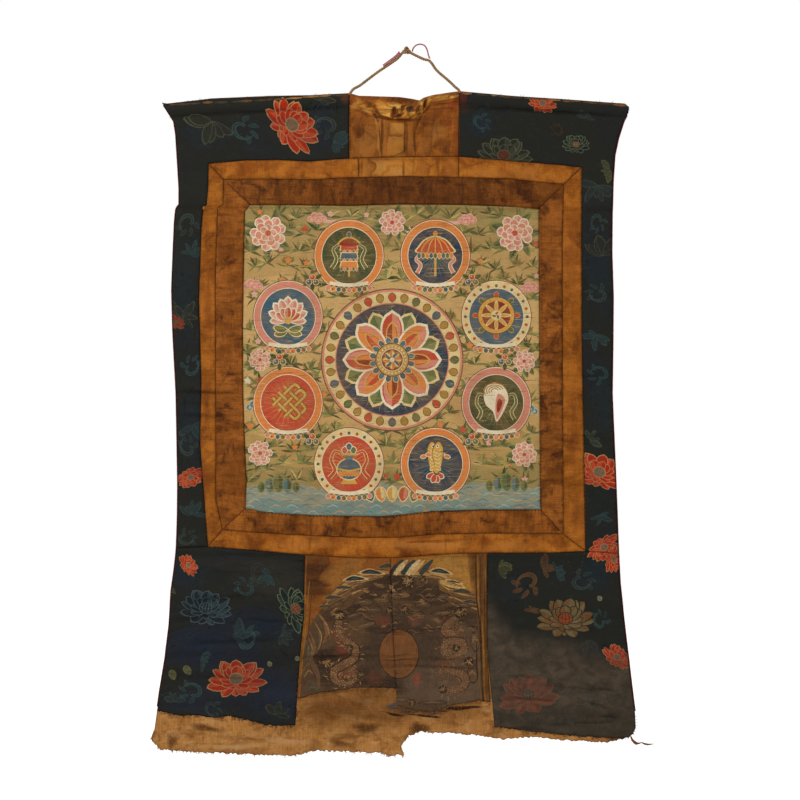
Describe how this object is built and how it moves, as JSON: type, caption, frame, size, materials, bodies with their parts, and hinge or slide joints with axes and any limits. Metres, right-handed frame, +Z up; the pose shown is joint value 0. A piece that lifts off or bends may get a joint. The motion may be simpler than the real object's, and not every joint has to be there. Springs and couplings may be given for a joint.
{
  "type": "thangka scroll painting",
  "caption": "Painted cloth in mitred silk frames, set in a brocade scroll with a torn lining and hung from a knotted cord.",
  "frame": {"origin": "underside of the knot at the top of the hanging cord, where a nail or hook holds the scroll", "axes": "+Z up, +X to the right of someone who looks at the painted face, -Y out of the painted face"},
  "size_m": [0.754, 0.0153, 1.0699],
  "materials": {
    "lining": "coarse tan cotton, worn and stained",
    "brocade": "dark blue-black silk with woven lotus flowers",
    "gold_silk": "faded golden-yellow silk, satin",
    "brown_silk": "faded brown-red silk, satin and streaked",
    "painting": "primed cotton painted in matt colours",
    "door_brocade": "worn brown silk with woven clouds and dragons",
    "binding": "thin red silk cord",
    "cord": "twisted tan cotton cord",
    "thread": "thin faded red thread"
  },
  "bodies": {
    "root": {"lining_cloth": "lining", "brocade_upper_left": "brocade", "brocade_upper_right": "brocade", "brocade_lower_left": "brocade", "brocade_lower_right": "brocade", "heading_silk": "gold_silk", "heading_patch": "gold_silk", "outer_strip_top_left": "gold_silk", "outer_strip_top_middle": "gold_silk", "outer_strip_top_right": "gold_silk", "outer_strip_right": "gold_silk", "outer_strip_bottom": "gold_silk", "outer_strip_left": "gold_silk", "inner_strip_top": "brown_silk", "inner_strip_right": "brown_silk", "inner_strip_bottom": "brown_silk", "inner_strip_left": "brown_silk", "painted_canvas": "painting", "door_left": "door_brocade", "door_right": "door_brocade", "side_binding_left": "binding", "side_binding_right": "binding", "hanging_cord_left": "cord", "hanging_cord_right": "cord", "cord_knot": "cord", "red_thread_loop": "thread", "red_thread_end": "thread", "corner_shred": "lining"}
  },
  "joints": []
}
